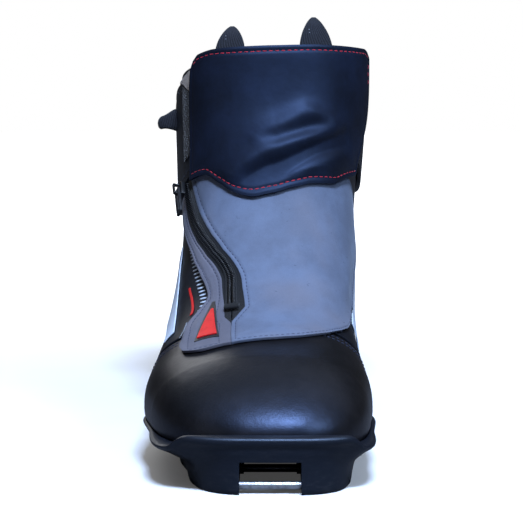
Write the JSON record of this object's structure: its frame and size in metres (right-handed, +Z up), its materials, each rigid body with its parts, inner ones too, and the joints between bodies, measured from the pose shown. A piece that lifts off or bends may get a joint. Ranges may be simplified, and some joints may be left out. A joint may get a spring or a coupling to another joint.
{
  "type": "cross country ski boot",
  "caption": "Right touring ski boot with a rubber sole and toe binding bars, padded bootie, zipped lace cover and a hinged cuff flap.",
  "frame": {"origin": "on the ground, under the middle of the boot's bounding box", "axes": "+Z up, toe towards -Y, heel towards +Y, medial (inner) side towards +X"},
  "size_m": [0.1124, 0.298, 0.2079],
  "materials": {
    "leatherette": "smooth blue-black coated leather, semi-gloss",
    "sole_rubber": "moulded, satin",
    "tread_rubber": "soft grip rubber, matt",
    "cover_fabric": "slate blue-grey coated fabric, matt",
    "panel_fabric": "warm grey coated fabric, matt",
    "black_textile": "woven black textile",
    "lining": "soft beige brushed lining",
    "white_panel": "pale coated panel, satin",
    "steel": "brushed",
    "nylon": "moulded nylon, satin",
    "red_trim": "raised printed badge",
    "board": "stiffener board"
  },
  "bodies": {
    "boot": {"outsole": "sole_rubber", "binding_plate": "nylon", "front_binding_bar": "steel", "rear_binding_bar": "steel", "lateral_forefoot_tread": "tread_rubber", "medial_forefoot_tread": "tread_rubber", "lateral_heel_tread": "tread_rubber", "medial_heel_tread": "tread_rubber", "sole_shank": "steel", "insole_board": "board", "footbed": "black_textile", "toe_vamp": "leatherette", "toe_puff": "board", "lateral_quarter": "leatherette", "medial_quarter": "leatherette", "heel_counter": "board", "backstay": "leatherette", "bootie_base": "lining", "bootie_toe_box": "lining", "lateral_bootie_panel": "lining", "medial_bootie_panel": "lining", "collar_padding": "lining", "tongue": "black_textile", "lace": "black_textile", "lateral_eyestay": "black_textile", "medial_eyestay": "black_textile", "lace_cover": "cover_fabric", "lateral_cover_panel": "panel_fabric", "lateral_zip_tape": "black_textile", "medial_zip_tape": "black_textile", "zip_coil": "nylon", "zip_bottom_stop": "steel", "cover_badge": "red_trim", "lateral_white_panel": "white_panel", "medial_white_panel": "white_panel", "ankle_cuff": "leatherette", "loop_patch": "black_textile", "lateral_collar_loop": "black_textile", "medial_collar_loop": "black_textile", "heel_pull_loop": "black_textile", "side_tab": "black_textile"},
    "cuff_flap": {"cuff_flap": "leatherette", "hook_patch": "black_textile"},
    "zip_slider": {"zip_slider": "steel"},
    "zip_pull": {"zip_pull": "nylon"}
  },
  "joints": [
    {"name": "flap_hinge", "type": "hinge", "parent": "boot", "child": "cuff_flap", "pos_m": [0.05368, 0.04644, 0.15872], "axis": [0.05, 0.0248, 0.9984], "range_deg": [0, 110]},
    {"name": "zip_travel", "type": "hinge", "parent": "boot", "child": "zip_slider", "pos_m": [0.06296, 0.01107, 0.16065], "axis": [-0.3832, -0.5637, 0.7317], "range_deg": [0, 13]},
    {"name": "pull_swing", "type": "hinge", "parent": "zip_slider", "child": "zip_pull", "pos_m": [-0.04294, 0.02567, 0.11951], "axis": [-0.3365, 0.5159, -0.7878], "range_deg": [0, 120]}
  ]
}
